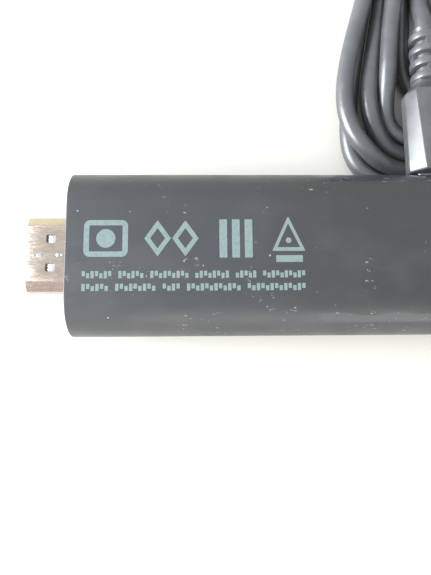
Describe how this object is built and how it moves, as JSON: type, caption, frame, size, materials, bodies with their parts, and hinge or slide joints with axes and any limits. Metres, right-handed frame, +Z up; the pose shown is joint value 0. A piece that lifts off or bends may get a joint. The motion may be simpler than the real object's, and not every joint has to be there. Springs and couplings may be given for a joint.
{
  "type": "streaming media player",
  "caption": "Slim flat-sided media stick with a video plug on its end and a power lead, folded in a tied hank, whose small plug pulls out of the side inlet.",
  "frame": {"origin": "middle of the stick's box, seen from above, at the level of the surface it lies on; the power lead is not counted", "axes": "+X along the stick from the video plug to the rear end, +Y across it towards the side with the power inlet, +Z up out of the printed side"},
  "size_m": [0.114, 0.1235, 0.0152],
  "materials": {
    "housing_plastic": "fine satin black with a slight sheen, light dust and small scuffs",
    "print_ink": "thin pale grey-green printed ink",
    "gilt_plug": "champagne gilt plating with fine brushed marks and small weld dimples",
    "steel": "nickel-plated sheet",
    "contact": "gilt contact",
    "insulator": "black moulded insulator",
    "board": "green solder mask",
    "chip": "moulded black package",
    "ceramic": "beige ceramic",
    "aluminium": "bare rolled sheet",
    "thermal_pad": "soft silicone pad",
    "antenna": "stamped copper alloy",
    "lead_plastic": "soft satin black jacket and moulded grips",
    "tie": "black plastic-coated tie"
  },
  "bodies": {
    "stick": {"printed_cover": "housing_plastic", "plain_cover": "housing_plastic", "video_plug_shell": "gilt_plug", "video_plug_insulator": "insulator", "video_contacts_upper": "contact", "video_contacts_lower": "contact", "video_rear_shield": "steel", "main_board": "board", "processor": "chip", "memory_chip_1": "chip", "memory_chip_2": "chip", "power_chip": "chip", "storage_chip": "chip", "radio_module": "steel", "crystal": "steel", "inductor_1": "chip", "inductor_2": "chip", "inductor_3": "chip", "input_capacitor_1": "ceramic", "input_capacitor_2": "ceramic", "processor_pad": "thermal_pad", "upper_shield": "steel", "spreader_pad": "thermal_pad", "heat_spreader": "aluminium", "lower_shield": "steel", "storage_pad": "thermal_pad", "antenna_near": "antenna", "antenna_far": "antenna", "inlet_shell": "steel", "inlet_tongue": "insulator"},
    "power_lead": {"power_plug_shell": "steel", "power_plug_insulator": "insulator", "power_plug_grip": "lead_plastic", "power_plug_relief": "lead_plastic", "lead_start": "lead_plastic", "lead_hank": "lead_plastic", "lead_tie": "tie", "lead_tail": "lead_plastic", "charger_plug_relief": "lead_plastic", "charger_plug_grip": "lead_plastic", "charger_plug_shell": "steel", "charger_plug_insulator": "insulator", "charger_contact_1": "contact", "charger_contact_2": "contact", "charger_contact_3": "contact", "charger_contact_4": "contact"}
  },
  "joints": [
    {"name": "power_plug_slide", "type": "slide", "parent": "stick", "child": "power_lead", "axis": [0, 1, 0], "range_m": [0, 0.008]}
  ]
}
